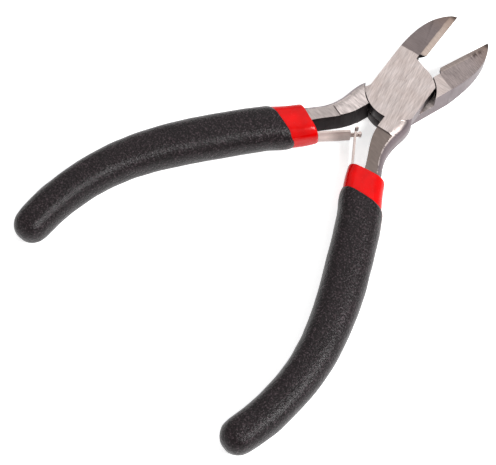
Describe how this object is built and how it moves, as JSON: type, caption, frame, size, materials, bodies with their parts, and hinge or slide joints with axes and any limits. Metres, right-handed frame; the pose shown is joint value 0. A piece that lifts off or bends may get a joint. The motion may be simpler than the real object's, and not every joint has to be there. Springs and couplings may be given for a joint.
{
  "type": "flush cutter",
  "caption": "Small lap-jointed flush cutter for electronics work, with interlocked leaf springs and two-layer dipped grips.",
  "frame": {"origin": "pivot axis in the plane of the head's back face", "axes": "+Y from the pivot towards the cutting tips along the tool's middle line, +Z out of the front face, +X to the right seen from the front"},
  "size_m": [0.0766, 0.1094, 0.009],
  "materials": {
    "front_steel": "brushed",
    "back_steel": "brushed",
    "rivet_steel": "brushed",
    "spring_steel": "satin",
    "red_dip": "gloss",
    "black_dip": "matte, finely grained"
  },
  "bodies": {
    "back": {"back_half": "back_steel", "back_spring_rivet": "rivet_steel", "back_grip_lining": "red_dip", "back_grip_sleeve": "black_dip"},
    "front": {"front_half": "front_steel", "pivot_rivet": "rivet_steel", "front_spring_rivet": "rivet_steel", "front_grip_lining": "red_dip", "front_grip_sleeve": "black_dip"},
    "front_leaf": {"front_leaf_spring": "spring_steel"},
    "back_leaf": {"back_leaf_spring": "spring_steel"}
  },
  "joints": [
    {"name": "jaw_pivot", "type": "hinge", "parent": "back", "child": "front", "pos_m": [0, 0, 0.0035], "axis": [0, 0, -1], "range_deg": [0, 22.4], "stiffness_Nm_per_rad": 0.8},
    {"name": "front_leaf_flex", "type": "hinge", "parent": "front", "child": "front_leaf", "pos_m": [0.01326, -0.02989, 0.0035], "axis": [0, 0, -1], "range_deg": [0, 8.6]},
    {"name": "back_leaf_flex", "type": "hinge", "parent": "back", "child": "back_leaf", "pos_m": [-0.01326, -0.02989, 0.0035], "axis": [0, 0, 1], "range_deg": [0, 8.6]}
  ],
  "couplings": [
    {"joint": "front_leaf_flex", "follows": "jaw_pivot", "ratio": 0.37848},
    {"joint": "back_leaf_flex", "follows": "jaw_pivot", "ratio": 0.37848}
  ]
}
